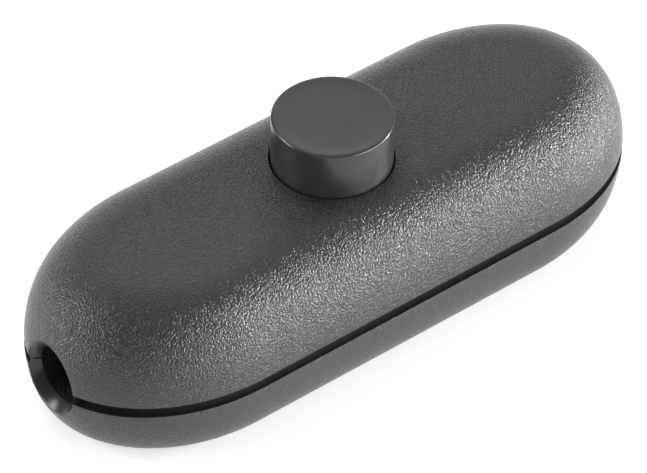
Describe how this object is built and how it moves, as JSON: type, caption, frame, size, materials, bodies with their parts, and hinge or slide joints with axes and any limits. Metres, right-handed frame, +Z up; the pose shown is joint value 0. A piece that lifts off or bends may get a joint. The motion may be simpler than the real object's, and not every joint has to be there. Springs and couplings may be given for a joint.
{
  "type": "inline cord switch",
  "caption": "Black moulded in-line cord switch with a round push button on top, shadow gap between its two shells and a cord entry at each end.",
  "frame": {"origin": "middle of the flat underside, on the surface it stands on, under the push button", "axes": "+X along the cord towards the outgoing end, +Y across, +Z up through the push button"},
  "size_m": [0.0908, 0.0342, 0.0306],
  "materials": {
    "housing_plastic": "finely grained moulded thermoplastic, charcoal black",
    "button_plastic": "smooth satin gloss, black",
    "base_plastic": "moulded thermoset, pale grey",
    "rotor_plastic": "moulded, off-white",
    "clamp_plastic": "moulded, black",
    "steel": "zinc plated",
    "spring_steel": "drawn spring wire",
    "brass": "machined brass",
    "bronze": "rolled phosphor bronze strip",
    "silver": "silver alloy contact"
  },
  "bodies": {
    "housing": {"lower_shell": "housing_plastic", "upper_shell": "housing_plastic", "switch_base": "base_plastic", "pivot_pin": "steel", "contact_spring_in": "bronze", "contact_spring_out": "bronze", "contact_rivet_in": "silver", "contact_rivet_out": "silver", "live_terminal_in": "brass", "live_terminal_out": "brass", "neutral_link": "brass", "live_screw_in": "steel", "live_screw_out": "steel", "neutral_screw_in": "steel", "neutral_screw_out": "steel", "cord_clamp_in": "clamp_plastic", "cord_clamp_out": "clamp_plastic", "clamp_screw_in_near": "steel", "clamp_screw_in_far": "steel", "clamp_screw_out_near": "steel", "clamp_screw_out_far": "steel", "housing_screw_near": "steel", "housing_screw_far": "steel"},
    "button": {"push_button": "button_plastic", "return_spring": "spring_steel"},
    "rotor": {"contact_rotor": "rotor_plastic", "contact_bridge": "brass", "spring_washer": "steel"}
  },
  "joints": [
    {"name": "button_press", "type": "slide", "parent": "housing", "child": "button", "axis": [0, 0, -1], "range_m": [0, 0.003], "stiffness_N_per_m": 500, "springref_m": -0.004, "deforming": ["return_spring"]},
    {"name": "rotor_index", "type": "hinge", "parent": "housing", "child": "rotor", "pos_m": [0, 0, 0.0094], "axis": [0, 0, 1], "range_deg": [0, 30]}
  ],
  "couplings": [
    {"joint": "rotor_index", "follows": "button_press", "rad_per_m": 174.53}
  ]
}
